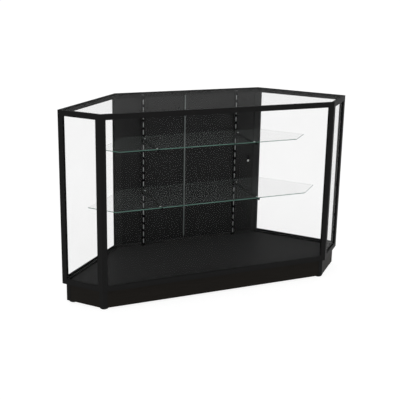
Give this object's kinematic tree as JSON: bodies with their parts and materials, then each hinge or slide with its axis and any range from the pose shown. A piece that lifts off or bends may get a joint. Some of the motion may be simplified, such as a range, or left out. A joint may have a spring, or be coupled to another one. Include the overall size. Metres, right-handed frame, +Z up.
{
  "type": "corner display cabinet",
  "caption": "Hexagonal glass display cabinet for a corner, with bypass sliding rear doors, a cam lock and glass shelves on slotted standards.",
  "frame": {"origin": "centre of the footprint, on the floor", "axes": "+X along the front to the viewer's right, +Y from the front glass to the sliding doors, +Z up"},
  "size_m": [1.5338, 0.5176, 0.965],
  "materials": {
    "black_anodised": "black anodised, satin",
    "clear_glass": "polished, clear with a green edge",
    "shelf_glass": "polished, clear with a green edge",
    "door_glass": "dark, polished",
    "gasket_rubber": "matte",
    "deck_laminate": "black laminate",
    "base_laminate": "black-brown laminate",
    "raw_wood": "unfinished",
    "zinc_steel": "zinc plated",
    "black_steel": "black powder coat, satin",
    "black_nylon": "matte",
    "white_nylon": "matte",
    "clear_pads": "clear, soft",
    "satin_chrome": "satin",
    "lock_brass": "machined"
  },
  "bodies": {
    "cabinet": {"top_rail_front": "black_anodised", "top_rail_short_left": "black_anodised", "top_rail_short_right": "black_anodised", "top_rail_long_left": "black_anodised", "top_rail_long_right": "black_anodised", "top_rail_rear": "black_anodised", "bottom_rail_front": "black_anodised", "bottom_rail_short_left": "black_anodised", "bottom_rail_short_right": "black_anodised", "bottom_rail_long_left": "black_anodised", "bottom_rail_long_right": "black_anodised", "bottom_rail_rear": "black_anodised", "post_side_left": "black_anodised", "post_front_left": "black_anodised", "post_front_right": "black_anodised", "post_side_right": "black_anodised", "post_rear_right": "black_anodised", "post_rear_left": "black_anodised", "corner_keys": "zinc_steel", "pane_front": "clear_glass", "pane_short_left": "clear_glass", "pane_short_right": "clear_glass", "pane_long_left": "clear_glass", "pane_long_right": "clear_glass", "pane_gaskets": "gasket_rubber", "top_glass": "clear_glass", "top_glass_gasket": "gasket_rubber", "deck_panel": "deck_laminate", "base_board_front": "base_laminate", "base_boards_short": "base_laminate", "base_boards_long": "base_laminate", "base_board_rear": "base_laminate", "base_corner_posts": "black_anodised", "base_corner_blocks": "raw_wood", "base_cleats": "raw_wood", "base_screws": "zinc_steel", "corner_glides": "black_nylon", "lower_door_track": "black_anodised", "standard_left": "black_steel", "standard_right": "black_steel", "standard_screws": "black_steel", "brackets_upper": "black_steel", "brackets_lower": "black_steel", "bracket_pads": "clear_pads"},
    "left_door": {"left_door_glass": "door_glass", "left_door_shoe": "black_anodised", "left_door_pull": "black_anodised", "left_door_glides": "white_nylon"},
    "right_door": {"right_door_glass": "door_glass", "right_door_shoe": "black_anodised", "right_door_pull": "black_anodised", "right_door_glides": "white_nylon", "lock_barrel": "satin_chrome"},
    "lock": {"lock_plug": "lock_brass", "lock_cam": "black_steel", "lock_cap": "satin_chrome"},
    "upper_shelf": {"shelf_upper": "shelf_glass"},
    "lower_shelf": {"shelf_lower": "shelf_glass"}
  },
  "joints": [
    {"name": "left_door_slide", "type": "slide", "parent": "cabinet", "child": "left_door", "axis": [1, 0, 0], "range_m": [0, 0.355]},
    {"name": "right_door_slide", "type": "slide", "parent": "cabinet", "child": "right_door", "axis": [1, 0, 0], "range_m": [-0.355, 0]},
    {"name": "lock_turn", "type": "hinge", "parent": "right_door", "child": "lock", "pos_m": [0.35625, 0.2388, 0.546], "axis": [0, 1, 0], "range_deg": [0, 90]},
    {"name": "upper_shelf_lift", "type": "slide", "parent": "cabinet", "child": "upper_shelf", "axis": [0, 0, 1], "range_m": [0, 0.04]},
    {"name": "lower_shelf_lift", "type": "slide", "parent": "cabinet", "child": "lower_shelf", "axis": [0, 0, 1], "range_m": [0, 0.04]}
  ]
}
